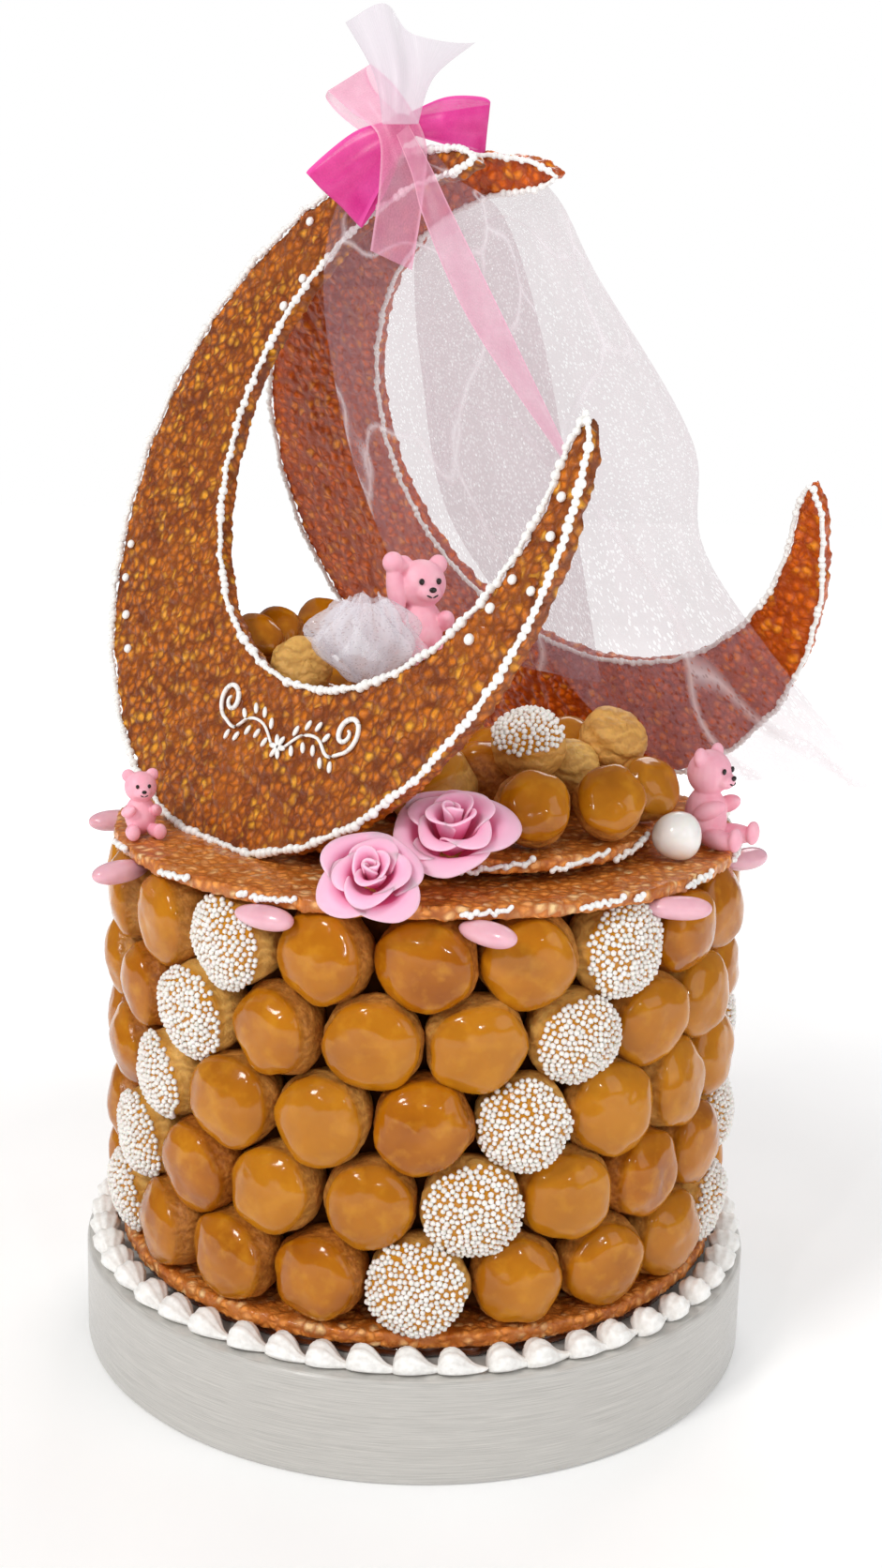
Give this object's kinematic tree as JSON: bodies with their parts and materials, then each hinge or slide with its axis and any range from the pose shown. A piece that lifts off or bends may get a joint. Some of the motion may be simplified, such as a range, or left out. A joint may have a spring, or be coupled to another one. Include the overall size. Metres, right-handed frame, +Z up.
{
  "type": "croquembouche",
  "caption": "Cradle-shaped croquembouche on a white drum: a round wall of caramel choux, two nougatine crescents leaning together over a heap of choux, with veil, bow, roses and bears.",
  "frame": {"origin": "middle of the drum's underside, on the table", "axes": "+Z up through the stack, -Y towards the front with the roses, +X to the right of someone facing the front"},
  "size_m": [0.3484, 0.3305, 0.5792],
  "materials": {
    "drum_cover": "pearly",
    "icing": "satin",
    "caramel": "glossy",
    "nougatine": "glossy",
    "choux": "glossy",
    "sugar_pink": "glossy",
    "sugar_white": "glossy",
    "bear_paste": "matte",
    "rose_paste": "matte",
    "tulle": "sheer",
    "satin": "satin",
    "organza": "sheer"
  },
  "bodies": {
    "root": {"almond_white_1": "sugar_white", "almond_white_2": "sugar_white", "base_drum": "drum_cover", "bear_left": "bear_paste", "bear_middle": "bear_paste", "bear_right": "bear_paste", "bottom_disc": "nougatine", "caramel_bed": "caramel", "choux_row_1": "choux", "choux_row_2": "choux", "choux_row_3": "choux", "choux_row_4": "choux", "choux_row_5": "choux", "crescent_front": "nougatine", "crescent_rear": "nougatine", "dragee_pink_1": "sugar_pink", "dragee_pink_10": "sugar_pink", "dragee_pink_2": "sugar_pink", "dragee_pink_3": "sugar_pink", "dragee_pink_4": "sugar_pink", "dragee_pink_5": "sugar_pink", "dragee_pink_6": "sugar_pink", "dragee_pink_7": "sugar_pink", "dragee_pink_8": "sugar_pink", "dragee_pink_9": "sugar_pink", "heap_choux_1": "choux", "heap_choux_10": "choux", "heap_choux_2": "choux", "heap_choux_3": "choux", "heap_choux_4": "choux", "heap_choux_5": "choux", "heap_choux_6": "choux", "heap_choux_7": "choux", "heap_choux_8": "choux", "heap_choux_9": "choux", "heap_core": "choux", "icing_border": "icing", "organza_tie": "organza", "rose_large": "rose_paste", "rose_small": "rose_paste", "satin_bow": "satin", "top_disc": "nougatine", "tray_disc": "nougatine", "tray_pad": "caramel", "tulle_pouf": "tulle", "veil_long": "tulle", "veil_short": "tulle"}
  },
  "joints": []
}
